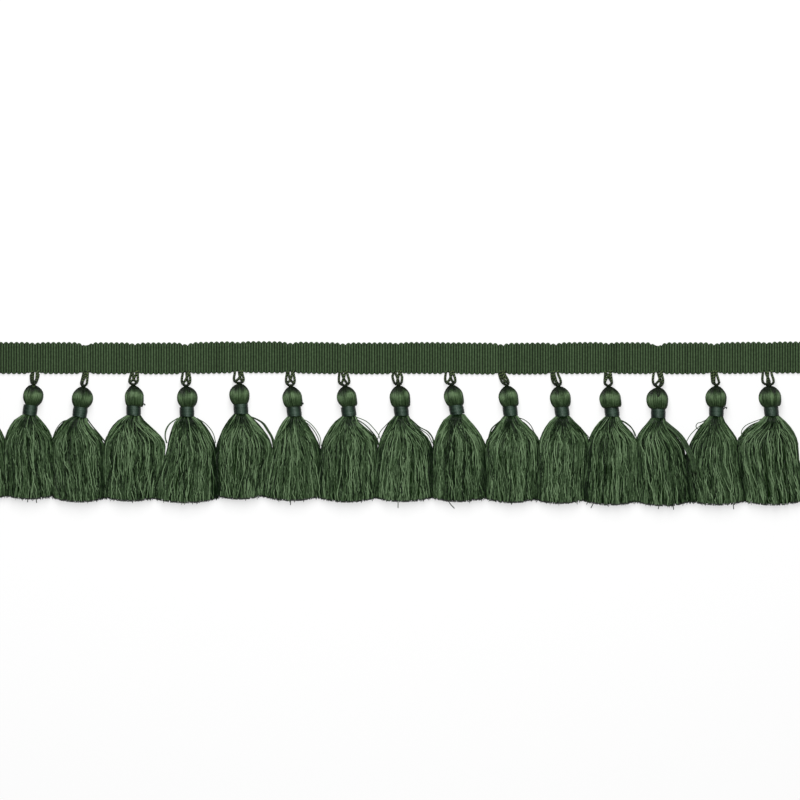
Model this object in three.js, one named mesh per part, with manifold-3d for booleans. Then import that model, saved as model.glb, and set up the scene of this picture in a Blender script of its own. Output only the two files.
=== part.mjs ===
// A cut length of silk tassel trim, lying face up on a table.
//
// A ribbed heading tape carries a row of small tassels. Each tassel hangs from two crossed cord loops that
// come out of the tape's lower edge. Its threads are drawn over a wooden ball, bound round the neck with
// finer thread, and fall from there as an open skirt whose cut ends lie on the table.
//
// Millimetres. +X runs along the tape, +Y goes from the skirts to the tape, +Z points up from the table.
// The origin is the middle of the tape's back face, which lies on the table.

import * as THREE from "three";
import { mergeVertices } from "three/addons/utils/BufferGeometryUtils.js";
import Module from "manifold-3d";

// Driving sizes
const PITCH = 25; // from one tassel to the next
const FIRST_AT = -191.5; // regular place of the first tassel
const RIB_PAIR = PITCH / 10; // one turn of the weft at the tape's edge, which is two ribs
const RIB_PAIRS = 161; // along the whole cut length
const TAPE_HALF_WIDTH = 7.6; // to the tips of the weft's turns
const TURN_DEPTH = 0.5; // how far a turn stands out of the tape's edge
const TAPE_THICK = 1.4; // at the crest of a rib
const RIB_DEPTH = 0.4;
const DRAWN_IN = 0.9; // how far both edges are drawn in where a loop is woven into the tape
const DRAWN_REACH = 3.3; // and how far to either side of the loop
const KNOT_Y = -13.2; // where a loop meets the top of its ball
const CORD = 1.15; // thickness of the loop's cord
const CORD_OVER = CORD * 1.15; // how much higher the right cord lies than the left one
const CORD_HELD = CORD * 0.92; // and how much at the turn, where the two are held together
const CORD_LEAVES = 0.8; // where a cord leaves the tape, as a share of its bulge
const CORD_CROSSES = 0.45; // how far it passes beyond the middle on its way back
const CORD_RETURNS = 0.25; // and where it comes back to the tape
const BULGE_AT = 0.55; // share of the loop's length where it is widest
const CORD_STEPS = 6;
const NECK_TOP = 9.8; // down the tassel from the knot
const NECK_END = 14.8;
const CORE_RADIUS = 2.6; // the gathered threads inside the binding
const BINDING_RADIUS = 3.4;
const CLEARANCE = 0.32; // between pieces that touch on the real trim
const HEM_Y = -68.4; // regular place of the cut ends
const HEM_CURVE = 2.6; // how far the hem's corners are drawn up
const SKIRT_CROWN = 8.4; // height of a skirt over the table where it is fullest
const HEM_CROWN = 6.4; // and at its cut ends
const LOWER_LOCKS = 7; // locks that lie on the table, with one fewer on top of them
const LOCK_FILL = 0.86; // share of its place across the skirt that a lock takes up
const LAYER_GAP = 0.14; // share of the skirt's height between the two layers

// One row for each tassel, from left to right. shift: how far its loop is from the regular place. loop: the
// width over its two cords. knot: step sideways from the loop to the knot. drop: how much lower than usual
// it hangs. lean: degrees that it swings to the right. ball: diameter of its head. opens: share of the
// skirt's length over which it opens out. hem: how much lower than usual its cut ends reach.
const TASSELS = [
  { shift: 2.5, loop: 4.9, knot: 0.2, drop: -0.2, lean: 2, ball: 10.1, opens: 0.34, hem: -0.8 },
  { shift: 2.7, loop: 4.8, knot: -0.5, drop: -0.6, lean: -8, ball: 10.0, opens: 0.32, hem: -1.2 },
  { shift: 1.8, loop: 3.8, knot: -0.9, drop: 0.3, lean: -8, ball: 10.3, opens: 0.34, hem: 0.2 },
  { shift: 0.0, loop: 5.1, knot: -0.6, drop: -0.5, lean: 1, ball: 9.6, opens: 0.32, hem: -0.2 },
  { shift: -0.5, loop: 5.2, knot: 0.0, drop: 0.1, lean: 2, ball: 10.2, opens: 0.42, hem: 0.6 },
  { shift: -0.6, loop: 5.7, knot: 0.3, drop: -1.2, lean: 4, ball: 9.7, opens: 0.32, hem: -1.2 },
  { shift: -1.0, loop: 5.2, knot: 0.1, drop: 0.0, lean: 8, ball: 9.8, opens: 0.46, hem: -0.5 },
  { shift: -0.8, loop: 6.0, knot: 0.6, drop: 0.0, lean: 9, ball: 9.9, opens: 0.32, hem: 0.2 },
  { shift: -0.3, loop: 5.7, knot: 0.5, drop: -0.3, lean: 7, ball: 9.9, opens: 0.36, hem: 0.0 },
  { shift: -0.3, loop: 5.9, knot: 0.5, drop: -0.6, lean: 13, ball: 9.9, opens: 0.38, hem: 0.0 },
  { shift: -0.5, loop: 4.4, knot: 2.2, drop: -0.2, lean: 8, ball: 9.6, opens: 0.36, hem: 0.5 },
  { shift: -0.4, loop: 5.0, knot: 1.5, drop: 0.1, lean: 9, ball: 10.2, opens: 0.36, hem: 0.9 },
  { shift: -0.1, loop: 4.5, knot: 0.1, drop: 0.1, lean: 8, ball: 10.5, opens: 0.36, hem: 1.6 },
  { shift: -1.5, loop: 6.0, knot: 0.2, drop: 0.6, lean: 0, ball: 10.6, opens: 0.36, hem: 2.0 },
  { shift: 0.3, loop: 4.2, knot: 1.0, drop: -0.2, lean: 0, ball: 10.4, opens: 0.42, hem: 1.6 },
  { shift: 0.5, loop: 6.4, knot: 0.6, drop: -0.2, lean: 6, ball: 10.6, opens: 0.26, hem: 1.6 },
];

// Where each skirt meets the next, as a step from the middle between their regular places: at the belly, and
// at the hem. The first and last rows are the free sides of the two end skirts.
const MEETINGS = [
  { belly: 3.4, hem: 3.7 },
  { belly: 0.6, hem: 0.9 },
  { belly: -1.3, hem: -0.6 },
  { belly: -2.3, hem: -1.6 },
  { belly: 2.1, hem: -2.4 },
  { belly: 1.1, hem: 0.6 },
  { belly: 2.7, hem: -1.1 },
  { belly: 1.0, hem: 0.5 },
  { belly: 1.1, hem: 1.4 },
  { belly: 3.2, hem: 3.5 },
  { belly: 4.1, hem: 4.6 },
  { belly: 4.5, hem: 3.1 },
  { belly: 3.0, hem: 0.9 },
  { belly: 1.1, hem: 1.1 },
  { belly: -2.1, hem: 1.3 },
  { belly: -1.2, hem: 1.9 },
  { belly: 2.3, hem: 4.5 },
];

const BELLY_AT = 0.35; // share of the skirt's length where it is fullest
const LIES_AT = 0.24; // share of its length from which it lies on the table
const OPENING = 0.7; // the smaller, the rounder the skirt's shoulders
const SWAY = 0.02; // share of the skirt's width by which its locks wander
const SKIRT_MARGIN = 0.19; // each skirt stops this short of the line where it meets the next
const LOCK_STATIONS = [0, 0.12, 0.3, 1]; // shares of the skirt's length
const ROOT_RADIUS = 1.8;
const CORE_END = NECK_END + 0.7; // the gathered threads reach a little below the binding
const ROOTS_AT = NECK_END + 0.35;
const SIDE_FLATNESS = 0.92; // 1 would draw a skirt's sides down to a thin edge
const HEAD_SEGMENTS = 10;
const BALL_RINGS = [130, 95, 62, 30]; // degrees from the ball's top, from the neck up
const BALL_TOP = 0.42; // down from the knot
const BALL_SQUASH = 0.97; // its threads press it a little shorter than round

const wasm = await Module();
wasm.setup();

const silk = new THREE.MeshStandardMaterial({ color: 0x3f5638, roughness: 0.42, metalness: 0 });
const corded = new THREE.MeshStandardMaterial({ color: 0x37442f, roughness: 0.8, metalness: 0 });
const bound = new THREE.MeshStandardMaterial({ color: 0x2d3f39, roughness: 0.5, metalness: 0 });

const mix = THREE.MathUtils.lerp;
const smooth = THREE.MathUtils.smoothstep;

// The same number from 0 to 1 each time for the same two counters.
function uneven(a, b) {
  const s = Math.sin(a * 12.9898 + b * 78.233) * 43758.5453;
  return s - Math.floor(s);
}

function solidOf(geometry) {
  const bare = geometry.index ? geometry.toNonIndexed() : geometry.clone();
  bare.deleteAttribute("normal");
  bare.deleteAttribute("uv");
  const merged = mergeVertices(bare, 1e-4);
  return new wasm.Manifold(
    new wasm.Mesh({
      numProp: 3,
      vertProperties: new Float32Array(merged.attributes.position.array),
      triVerts: new Uint32Array(merged.index.array),
    }),
  );
}

function geometryOf(solid) {
  const mesh = solid.getMesh();
  const geometry = new THREE.BufferGeometry();
  geometry.setAttribute("position", new THREE.BufferAttribute(mesh.vertProperties, 3));
  geometry.setIndex(new THREE.BufferAttribute(mesh.triVerts, 1));
  geometry.computeVertexNormals();
  return geometry;
}

const joined = (solids) => geometryOf(solids.reduce((a, b) => a.add(b)));

function piece(name, geometry, material) {
  const mesh = new THREE.Mesh(geometry, material);
  mesh.name = name;
  return mesh;
}

// Moves every point of a geometry to where a function puts it.
function moulded(geometry, place) {
  const position = geometry.attributes.position;
  const point = new THREE.Vector3();
  for (let i = 0; i < position.count; i++) {
    point.fromBufferAttribute(position, i);
    place(point);
    position.setXYZ(i, point.x, point.y, point.z);
  }
  return geometry;
}

const loopAt = (n) => FIRST_AT + PITCH * n + TASSELS[n].shift;

// How much the tape is drawn in at x by the loops that are woven into it: 1 at a loop, 0 away from it.
function drawnIn(x) {
  const pull = (n) => Math.exp(-(((x - loopAt(n)) / DRAWN_REACH) ** 4));
  return TASSELS.reduce((most, _, n) => Math.max(most, pull(n)), 0);
}

// The heading tape: a thin strip whose ribs run across it, with the weft's turns along both edges.
function tape() {
  const length = RIB_PAIRS * RIB_PAIR;
  const columns = RIB_PAIRS * 2;
  const strip = new THREE.BoxGeometry(length, 2, 1, columns, 1, 1);
  return moulded(strip, (p) => {
    const valley = Math.round((p.x / length + 0.5) * columns) % 2 === 0;
    const pull = drawnIn(p.x);
    const edge = TAPE_HALF_WIDTH - (valley ? TURN_DEPTH * (1 - pull) : 0) - DRAWN_IN * pull;
    p.y = Math.sign(p.y) * edge;
    p.z = p.z > 0 ? TAPE_THICK - (valley ? RIB_DEPTH : 0) : 0;
  });
}

// Where tassel n's knot is, and the way that it hangs from there.
function hangOf(n) {
  const row = TASSELS[n];
  const lean = THREE.MathUtils.degToRad(row.lean);
  const knot = new THREE.Vector3(loopAt(n) + row.knot, KNOT_Y - row.drop, row.ball / 2);
  const along = new THREE.Vector3(Math.sin(lean), -Math.cos(lean), 0);
  return { knot, along, lean };
}

// One cord of a loop, as a tube of four sides. It leaves the tape's edge on one side, turns at the knot and
// comes back up across the middle. side is -1 for the left cord and 1 for the right one, which lies on top.
function cord(n, side) {
  const { knot } = hangOf(n);
  const half = CORD / 2;
  const top = -TAPE_HALF_WIDTH + DRAWN_IN - CLEARANCE - half;
  const turn = knot.y + half;
  const middle = mix(top, turn, BULGE_AT);
  const between = (loopAt(n) + knot.x) / 2;
  const bulge = side * (TASSELS[n].loop / 2 - half);
  const lift = side > 0 ? CORD_OVER : 0;
  const level = TAPE_THICK / 2 + lift;
  const rise = (TAPE_THICK / 2 + knot.z) / 2 + lift;
  const route = new THREE.CatmullRomCurve3([
    new THREE.Vector3(loopAt(n) + bulge * CORD_LEAVES, top, level),
    new THREE.Vector3(between + bulge, middle, rise),
    new THREE.Vector3(knot.x, turn, knot.z + (side * CORD_HELD) / 2),
    new THREE.Vector3(between - bulge * CORD_CROSSES, middle, rise),
    new THREE.Vector3(loopAt(n) + bulge * CORD_RETURNS, top, level),
  ]);
  const section = new THREE.Shape([
    new THREE.Vector2(half, 0),
    new THREE.Vector2(0, half),
    new THREE.Vector2(-half, 0),
    new THREE.Vector2(0, -half),
  ]);
  const along = { steps: CORD_STEPS, bevelEnabled: false, extrudePath: route };
  return solidOf(new THREE.ExtrudeGeometry(section, along));
}

// Turns a profile about the tassel's axis, which runs down from the knot. It goes from the bottom up, and
// each of its corners is a radius and a length down from the knot.
function turned(corners) {
  const profile = corners.map(([radius, down]) => new THREE.Vector2(radius, -down));
  return new THREE.LatheGeometry(profile, HEAD_SEGMENTS);
}

// The ball under its threads, and the gathered threads below it.
function head(n) {
  const { knot, lean } = hangOf(n);
  const radius = TASSELS[n].ball / 2;
  const ball = BALL_RINGS.map((degrees) => {
    const a = THREE.MathUtils.degToRad(degrees);
    return [radius * Math.sin(a), BALL_TOP + radius * BALL_SQUASH * (1 - Math.cos(a))];
  });
  const neck = [
    [0, CORE_END],
    [CORE_RADIUS, CORE_END],
    [CORE_RADIUS, NECK_TOP - CLEARANCE],
  ];
  return solidOf(turned([...neck, ...ball, [0, BALL_TOP]]).rotateZ(lean).translate(...knot));
}

// The binding, a band of fine thread wound round the neck.
function binding() {
  const inner = CORE_RADIUS + CLEARANCE;
  return turned([
    [inner, NECK_TOP],
    [inner, NECK_END],
    [BINDING_RADIUS, NECK_END],
    [BINDING_RADIUS, NECK_TOP],
    [inner, NECK_TOP],
  ]);
}

// Where a skirt's side is at station t: it opens out from the neck, and then follows the line where it meets
// its neighbour.
function sideOf(n, t, right) {
  const row = TASSELS[n];
  const meeting = MEETINGS[n + (right ? 1 : 0)];
  const middle = FIRST_AT + PITCH * (n + (right ? 0.5 : -0.5));
  const outwards = right ? 1 : -1;
  const outer = middle - outwards * SKIRT_MARGIN + mix(meeting.belly, meeting.hem, smooth(t, BELLY_AT, 1));
  const open = Math.sin((Math.PI / 2) * Math.min(1, t / row.opens)) ** OPENING;
  const { knot, along } = hangOf(n);
  const neck = knot.x + along.x * ROOTS_AT + outwards * ROOT_RADIUS;
  return mix(neck, outer, open);
}

// A point of tassel n's skirt. t runs from the neck, 0, to the hem, 1. u runs across it from left to right.
// v runs from its underside to its crown. longer is how far below the hem's own line this lock ends.
function skirtPoint(n, t, u, v, longer) {
  const row = TASSELS[n];
  const { knot, along } = hangOf(n);
  const from = knot.clone().addScaledVector(along, ROOTS_AT);
  const across = 2 * u - 1;
  const sway = SWAY * Math.sin(2 * Math.PI * (1.6 * u + 0.9 * t + uneven(n, 0))) * t * (1 - across * across);
  const x = mix(sideOf(n, t, false), sideOf(n, t, true), u + sway);
  const hem = HEM_Y - row.hem + HEM_CURVE * across * across - longer;
  const y = mix(from.y, hem, t);
  const round = Math.sqrt(1 - across * across * SIDE_FLATNESS);
  const lie = smooth(t, 0, LIES_AT);
  const crown = mix(SKIRT_CROWN, HEM_CROWN, smooth(t, BELLY_AT, 1));
  const under = mix(knot.z - ROOT_RADIUS * round, 0, lie);
  const over = mix(knot.z + ROOT_RADIUS * round, crown * round, lie);
  return new THREE.Vector3(x, y, mix(under, over, v));
}

// One lock as a prism. Its corners, each a step across and a height, are carried down the skirt.
function lock(n, u, corners, longer) {
  const last = LOCK_STATIONS.length - 1;
  const section = new THREE.Shape(corners.map(([step, height]) => new THREE.Vector2(step, height)));
  const prism = new THREE.ExtrudeGeometry(section, { depth: last, steps: last, bevelEnabled: false });
  return solidOf(
    moulded(prism, (p) => {
      const t = LOCK_STATIONS[Math.round(p.z)];
      p.copy(skirtPoint(n, t, u + p.x, p.y, longer));
    }),
  );
}

// The skirt's locks: a lower layer that lies flat on the table, and an upper one over its gaps.
function locks(n) {
  const half = 0.5 / LOWER_LOCKS;
  const side = half * LOCK_FILL;
  const layer = (1 - LAYER_GAP) / 2;
  const made = [];
  for (let i = 0; i < LOWER_LOCKS; i++) {
    const corners = [[side, 0], [0, layer], [-side, 0]];
    made.push(lock(n, (2 * i + 1) * half, corners, uneven(n, i) - 0.5));
  }
  for (let i = 1; i < LOWER_LOCKS; i++) {
    const base = layer + LAYER_GAP;
    const corners = [[side, base], [0, 1], [-side, base]];
    made.push(lock(n, 2 * i * half, corners, uneven(n, LOWER_LOCKS + i) - 0.3));
  }
  return made;
}

const trim = new THREE.Group();
trim.add(piece("heading_tape", tape(), corded));
TASSELS.forEach((_, n) => {
  const number = String(n + 1).padStart(2, "0");
  trim.add(piece(`loop_${number}`, joined([cord(n, -1), cord(n, 1)]), corded));
  trim.add(piece(`tassel_${number}`, joined([head(n), ...locks(n)]), silk));
  const band = piece(`binding_${number}`, binding(), bound);
  const { knot, lean } = hangOf(n);
  band.position.copy(knot);
  band.rotation.z = lean;
  trim.add(band);
});

export default trim;
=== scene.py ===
# %% [markdown]
# # A cut length of silk tassel trim
#
# A ribbed heading tape carries a row of small tassels. Each hangs from two crossed cord loops, and has a head
# of threads drawn over a bead, a band wound round its neck, and an open skirt. So most of this lesson is
# about laying thousands of threads along routes. The construction is loaded first and stays fixed.

# %% Load the frame
import math
from collections import namedtuple

import bmesh
import bpy
import numpy as np
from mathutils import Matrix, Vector


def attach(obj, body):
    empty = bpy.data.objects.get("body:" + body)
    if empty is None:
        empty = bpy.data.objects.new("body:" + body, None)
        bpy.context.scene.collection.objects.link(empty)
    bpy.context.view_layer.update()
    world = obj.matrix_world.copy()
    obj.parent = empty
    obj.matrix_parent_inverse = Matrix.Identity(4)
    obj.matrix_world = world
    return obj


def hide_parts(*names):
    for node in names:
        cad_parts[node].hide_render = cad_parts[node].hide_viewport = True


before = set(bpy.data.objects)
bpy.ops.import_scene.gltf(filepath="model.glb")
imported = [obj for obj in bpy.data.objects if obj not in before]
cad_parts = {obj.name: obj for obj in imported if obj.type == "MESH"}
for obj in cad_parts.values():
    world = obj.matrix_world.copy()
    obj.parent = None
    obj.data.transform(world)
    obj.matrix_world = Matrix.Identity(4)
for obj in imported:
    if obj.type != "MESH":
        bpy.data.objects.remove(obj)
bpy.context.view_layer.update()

# %% [markdown]
# ## The camera
#
# The picture is taken from straight above, so that the tape's edges run level. A very long lens from far away
# keeps the heads from leaning outwards at the ends of the row. The sizes in this lesson are millimetres, and
# MM turns them into Blender's metres.

# %% Camera straight above the trim
MM = 0.001
VIEW_WIDTH = 380.0
VIEW_CENTRE = (9.6, -19.95)
LENS = 900.0
SENSOR = 36.0

camera_data = bpy.data.cameras.new("camera")
camera_data.lens = LENS
camera_data.sensor_width = SENSOR
camera_data.clip_end = 50.0
camera = bpy.data.objects.new("camera", camera_data)
camera_height = VIEW_WIDTH * LENS / SENSOR
camera.location = (VIEW_CENTRE[0] * MM, VIEW_CENTRE[1] * MM, camera_height * MM)
bpy.context.collection.objects.link(camera)
bpy.context.scene.camera = camera
print("camera height, metres:", round(camera_height * MM, 3))

# %% [markdown]
# ## The table
#
# The trim lies on a white table: one large face without gloss, which would mirror the light. It glows a
# little, which keeps the shadows on it pale.

# %% The table
TABLE_SIZE = 40.0  # metres
TABLE_SHADE = 0.31
TABLE_GLOW = 0.65
WHITE = (1.0, 1.0, 1.0, 1.0)


def as_mesh(bm, name):
    mesh = bpy.data.meshes.new(name)
    bm.to_mesh(mesh)
    bm.free()
    return mesh


def painted(name, roughness):
    """A new material, with its nodes, links and shader to hand."""
    material = bpy.data.materials.new(name)
    material.use_nodes = True
    nodes = material.node_tree.nodes
    shader = nodes["Principled BSDF"]
    shader.inputs["Roughness"].default_value = roughness
    return material, nodes, material.node_tree.links, shader


bm = bmesh.new()
bmesh.ops.create_grid(bm, x_segments=1, y_segments=1, size=TABLE_SIZE / 2)
table = bpy.data.objects.new("table", as_mesh(bm, "table"))
bpy.context.collection.objects.link(table)
table_paint, _, _, shader = painted("table_white", roughness=0.9)
shader.inputs["Base Color"].default_value = (TABLE_SHADE, TABLE_SHADE, TABLE_SHADE, 1.0)
shader.inputs["Specular IOR Level"].default_value = 0.0
shader.inputs["Emission Color"].default_value = WHITE
shader.inputs["Emission Strength"].default_value = TABLE_GLOW
table.data.materials.append(table_paint)
print("table:", TABLE_SIZE, "metres across")

# %% [markdown]
# ## The light
#
# A large soft light stands over the table, a little towards the tape's side. It brightens the upper half of
# each head and leaves a thin soft shadow below the hems. The pale surroundings fill the shadows.

# %% Key light and pale surroundings
KEY_ACROSS = 0.6  # metres
KEY_ALONG = 1.4
KEY_AT = (0.0, 0.72, 1.18)
KEY_POWER = 26.5
SURROUNDINGS = 0.24

key_data = bpy.data.lights.new("key", "AREA")
key_data.shape = "RECTANGLE"
key_data.size = KEY_ACROSS
key_data.size_y = KEY_ALONG
key_data.energy = KEY_POWER
key = bpy.data.objects.new("key", key_data)
key.location = KEY_AT
key.rotation_euler = (-math.atan2(KEY_AT[1], KEY_AT[2]), 0.0, 0.0)
bpy.context.collection.objects.link(key)

world = bpy.data.worlds.new("surroundings")
world.use_nodes = True
world.node_tree.nodes["Background"].inputs["Color"].default_value = WHITE
world.node_tree.nodes["Background"].inputs["Strength"].default_value = SURROUNDINGS
bpy.context.scene.world = world
bpy.context.scene.view_settings.view_transform = "Standard"
print("key light at", KEY_AT, "metres")

# %% [markdown]
# ## The row of tassels
#
# One row of this table is one tassel, from left to right, with the sizes of the construction, so that each
# piece sits where its solid does. No two hang alike, which makes the row look sewn by hand.

# %% Sizes of the row of tassels
PITCH = 25.0  # between tassels
FIRST_AT = -191.5  # the first tassel's regular place
KNOT_Y = -13.2  # where a loop meets its head
NECK_TOP = 9.8  # down the tassel from the knot
NECK_END = 14.8


def table_of(columns, rows, *defaults):
    """A short table with named columns, and defaults for its last ones."""
    Row = namedtuple("Row", columns, defaults=defaults)
    return [Row(*row) for row in rows]


# shift: the loop's step from its regular place. loop: the width over its two cords. knot: step from the loop
# to the knot. drop: how much lower than usual it hangs. lean: degrees to the right. ball: diameter of its
# head. hem: how much lower than usual its cut ends reach.
TASSELS = table_of("shift loop knot drop lean ball hem", [
    (2.5, 4.9, 0.2, -0.2, 2, 10.1, -0.8), (2.7, 4.8, -0.5, -0.6, -8, 10.0, -1.2),
    (1.8, 3.8, -0.9, 0.3, -8, 10.3, 0.2), (0.0, 5.1, -0.6, -0.5, 1, 9.6, -0.2),
    (-0.5, 5.2, 0.0, 0.1, 2, 10.2, 0.6), (-0.6, 5.7, 0.3, -1.2, 4, 9.7, -1.2),
    (-1.0, 5.2, 0.1, 0.0, 8, 9.8, -0.5), (-0.8, 6.0, 0.6, 0.0, 9, 9.9, 0.2),
    (-0.3, 5.7, 0.5, -0.3, 7, 9.9, 0.0), (-0.3, 5.9, 0.5, -0.6, 13, 9.9, 0.0),
    (-0.5, 4.4, 2.2, -0.2, 8, 9.6, 0.5), (-0.4, 5.0, 1.5, 0.1, 9, 10.2, 0.9),
    (-0.1, 4.5, 0.1, 0.1, 8, 10.5, 1.6), (-1.5, 6.0, 0.2, 0.6, 0, 10.6, 2.0),
    (0.3, 4.2, 1.0, -0.2, 0, 10.4, 1.6), (0.5, 6.4, 0.6, -0.2, 6, 10.6, 1.6),
])


def rows_of(table, n):
    return [row for row in table if row.tassel == n]


def mix(a, b, share):
    """a where share is 0, b where it is 1."""
    return a + (b - a) * share


def smooth(x, start, end):
    """0 before start, 1 after end, and an S curve between them."""
    share = np.clip((x - start) / (end - start), 0.0, 1.0)
    return share * share * (3 - 2 * share)


def loop_at(n):
    return FIRST_AT + PITCH * n + TASSELS[n].shift


def hang_of(n):
    """Tassel n's knot, the way that it hangs, and the way across it to the right."""
    row = TASSELS[n]
    lean = math.radians(row.lean)
    knot = np.array([loop_at(n) + row.knot, KNOT_Y - row.drop, row.ball / 2])
    along = np.array([math.sin(lean), -math.cos(lean), 0.0])
    across = np.array([math.cos(lean), math.sin(lean), 0.0])
    return knot, along, across


print(len(TASSELS), "tassels, and", len(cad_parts), "solids in the frame")

# %% [markdown]
# ## Laying threads
#
# A thread is a long thin rod that follows a route. Modelling each by itself would take too long, so one
# straight rod is made with the cone operator, cut across by subdividing its long edges, and repeated by an
# Array modifier. Each ring of each copy is then carried to its own place on that thread's route, square to
# it. Each thread also carries a tone, a number from dark to light that its material reads.

# %% Helpers: rods laid along routes
ROD_SPACING = 4.0  # before they are laid
UP = (0.0, 0.0, 1.0)


def edges_along(bm, axis):
    """The long edges of a form, along one axis."""
    return [e for e in bm.edges if abs(e.verts[0].co[axis] - e.verts[1].co[axis]) > 0.5]


def rods(count, sides, segments):
    """A mesh of straight rods of radius 1 in a row along X, each as long as its number of segments."""
    bm = bmesh.new()
    bmesh.ops.create_cone(bm, cap_ends=True, segments=sides, radius1=1.0, radius2=1.0, depth=segments)
    bmesh.ops.translate(bm, vec=(0.0, 0.0, segments / 2), verts=bm.verts)
    bmesh.ops.subdivide_edges(bm, edges=edges_along(bm, 2), cuts=segments - 1)
    mesh = as_mesh(bm, "rods")
    row = bpy.data.objects.new("rods", mesh)
    bpy.context.collection.objects.link(row)
    array = row.modifiers.new("row", "ARRAY")
    array.count = count
    array.use_relative_offset = False
    array.use_constant_offset = True
    array.constant_offset_displace = (ROD_SPACING, 0.0, 0.0)
    made = bpy.data.meshes.new_from_object(row.evaluated_get(bpy.context.evaluated_depsgraph_get()))
    bpy.data.objects.remove(row)
    bpy.data.meshes.remove(mesh)
    return made


def points_of(mesh):
    points = np.empty(len(mesh.vertices) * 3)
    mesh.vertices.foreach_get("co", points)
    return points.reshape(-1, 3)


def move_points(mesh, points):
    """Move a mesh's points to places in millimetres."""
    mesh.vertices.foreach_set("co", (points * MM).ravel())
    mesh.update()


def give_tones(mesh, tones):
    mesh.attributes.new("tone", "FLOAT", "POINT").data.foreach_set("value", tones.ravel())


def unit(vectors):
    return vectors / np.linalg.norm(vectors, axis=-1, keepdims=True)


def laid(routes, radii, facing, tones, sides):
    """Threads laid along routes, an array of (threads, points, 3). facing is a way that no route takes."""
    threads, points = routes.shape[:2]
    mesh = rods(threads, sides, points - 1)
    one = points_of(mesh).reshape(threads, -1, 3)[0]
    station = np.rint(one[:, 2]).astype(int)
    ahead = unit(np.gradient(routes, axis=1))
    sideways = unit(np.cross(ahead, facing))
    upwards = np.cross(ahead, sideways)
    radii = np.broadcast_to(radii, (threads, points))[:, station, None]
    section = one[None, :, 0, None] * sideways[:, station] + one[None, :, 1, None] * upwards[:, station]
    move_points(mesh, routes[:, station] + section * radii)
    give_tones(mesh, np.broadcast_to(np.asarray(tones, dtype=float), (threads, points))[:, station])
    return mesh


# %% [markdown]
# ## Finished pieces
#
# Every piece is finished alike: its meshes are joined, it gets its materials, and the solids it stands for
# are hidden. Most pieces come once for each tassel.

# %% Helpers: joining and finishing
def joined(meshes):
    bm = bmesh.new()
    for mesh in meshes:
        bm.from_mesh(mesh)
        bpy.data.meshes.remove(mesh)
    return as_mesh(bm, "joined")


def piece(name, mesh, materials, slot, *nodes):
    """A finished piece: smooth shaded, in its materials, and standing for its solids."""
    mesh.name = name
    for material in materials:
        mesh.materials.append(material)
    mesh.polygons.foreach_set("use_smooth", np.ones(len(mesh.polygons), dtype=bool))
    made = bpy.data.objects.new(name, mesh)
    bpy.context.collection.objects.link(made)
    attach(made, "root")
    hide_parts(*nodes)
    return made


def triangles(objects):
    return sum(sum(len(p.vertices) - 2 for p in o.data.polygons) for o in objects)


def one_for_each(name, meshes_of, materials, slot, node):
    made = []
    for n in range(len(TASSELS)):
        number = f"{n + 1:02d}"
        whole = joined(meshes_of(n))
        made.append(piece(f"{name}_{number}", whole, materials, slot, f"{node}_{number}"))
    print(f"{name}:", len(made), "pieces,", triangles(made), "triangles")


def in_second_material(mesh):
    """Give the whole mesh the second material of its piece."""
    mesh.attributes.new("tone", "FLOAT", "POINT")
    mesh.polygons.foreach_set("material_index", np.ones(len(mesh.polygons), dtype=int))
    return mesh


# %% [markdown]
# ## Thread finishes
#
# Artificial silk shows a soft gleam across the threads and goes dark where they turn away. One recipe gives
# all the finishes. The tone of each thread picks a colour between dark and light, a fine noise breaks it
# along the thread, and the roughness sets how tight the gleam is. Besides each thread's own colour, the tones
# carry painted light and painted shade, which the pieces below set.

# %% Thread materials
NOISE_SCALE = 900.0  # to a metre
FIBRE_SCALE = 5000.0
FIBRE_RELIEF = 0.2
FIBRE_DEPTH = 0.00005  # metres
SHEEN = 0.04


def linear(colour):
    """A colour as the eye sees it, 0 to 255, in Blender's linear light."""
    parts = [c / 255 for c in colour]
    return (*[p / 12.92 if p <= 0.04045 else ((p + 0.055) / 1.055) ** 2.4 for p in parts], 1.0)


def added(nodes, kind, **inputs):
    node = nodes.new(f"ShaderNode{kind}")
    for name, value in inputs.items():
        node.inputs[name].default_value = value
    return node


def thread_finish(name, dark, middle, light, roughness, gloss, mottle):
    """A thread material that goes from dark to light with the thread's tone, a little unevenly. The tone
    holds painted light and shade too.
    """
    material, nodes, links, shader = painted(name, roughness)
    shader.inputs["Specular IOR Level"].default_value = gloss
    shader.inputs["Sheen Weight"].default_value = SHEEN
    shader.inputs["Sheen Tint"].default_value = linear(light)
    tone = added(nodes, "Attribute")
    tone.attribute_name = "tone"
    where = added(nodes, "TexCoord").outputs["Object"]
    blotches = added(nodes, "TexNoise", Scale=NOISE_SCALE, Detail=2.0)
    links.new(where, blotches.inputs["Vector"])
    shift = added(nodes, "Math")
    shift.operation = "MULTIPLY_ADD"
    shift.inputs[1].default_value = mottle
    links.new(blotches.outputs["Fac"], shift.inputs[0])
    links.new(tone.outputs["Fac"], shift.inputs[2])
    centre = added(nodes, "Math")
    centre.operation = "SUBTRACT"
    centre.inputs[1].default_value = mottle / 2
    links.new(shift.outputs["Value"], centre.inputs[0])
    ramp = added(nodes, "ValToRGB")
    stops = ramp.color_ramp.elements
    stops[0].color = linear(dark)
    stops[1].color = linear(light)
    stops.new(0.5).color = linear(middle)
    links.new(centre.outputs["Value"], ramp.inputs["Fac"])
    links.new(ramp.outputs["Color"], shader.inputs["Base Color"])
    fibres = added(nodes, "TexNoise", Scale=FIBRE_SCALE)
    links.new(where, fibres.inputs["Vector"])
    relief = added(nodes, "Bump", Strength=FIBRE_RELIEF, Distance=FIBRE_DEPTH)
    links.new(fibres.outputs["Fac"], relief.inputs["Height"])
    links.new(relief.outputs["Normal"], shader.inputs["Normal"])
    return material


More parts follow.
